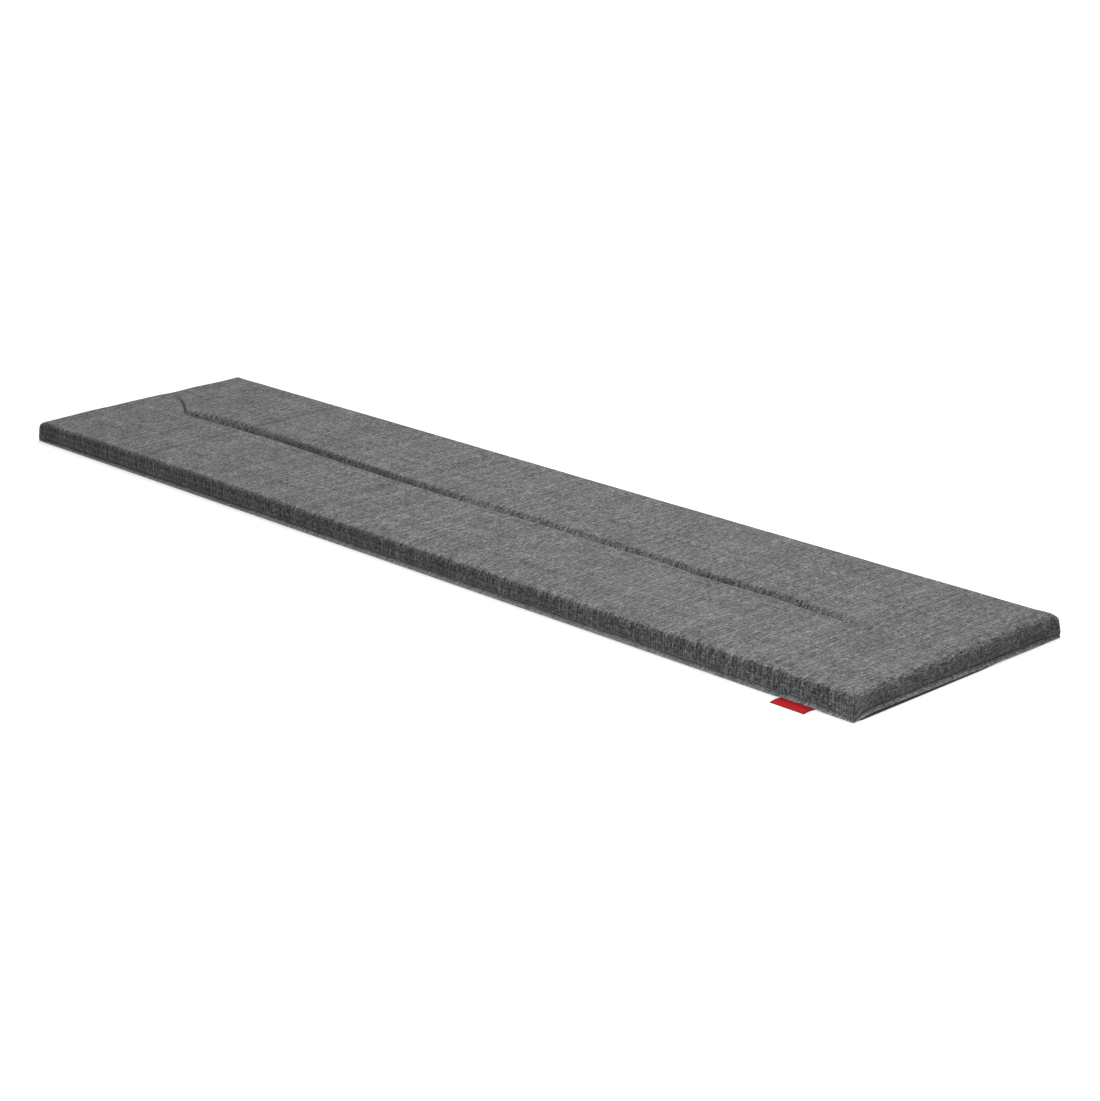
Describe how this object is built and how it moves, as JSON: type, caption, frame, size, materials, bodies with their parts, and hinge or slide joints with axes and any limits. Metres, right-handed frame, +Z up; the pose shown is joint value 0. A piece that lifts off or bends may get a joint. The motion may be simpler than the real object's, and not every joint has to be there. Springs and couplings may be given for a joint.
{
  "type": "bench cushion",
  "caption": "Long thin bench seat cushion of melange woven cloth, with a topstitched lip round its base, a sewn-down furrow along the middle and a bare ribbon tab.",
  "frame": {"origin": "centre of the flat underside, on the surface that the cushion lies on", "axes": "+X along the cushion towards the end nearest the tab, +Z up, -Y towards the long side with the tab"},
  "size_m": [1.4, 0.3499, 0.0283],
  "materials": {
    "melange_cloth": "matt plain weave of light and dark grey slub yarns",
    "base_cloth": "matt dark grey woven cloth",
    "ribbon": "smooth red woven ribbon, bare"
  },
  "bodies": {
    "root": {"filled_cover": "melange_cloth", "base_panel": "base_cloth", "side_tab": "ribbon"}
  },
  "joints": []
}
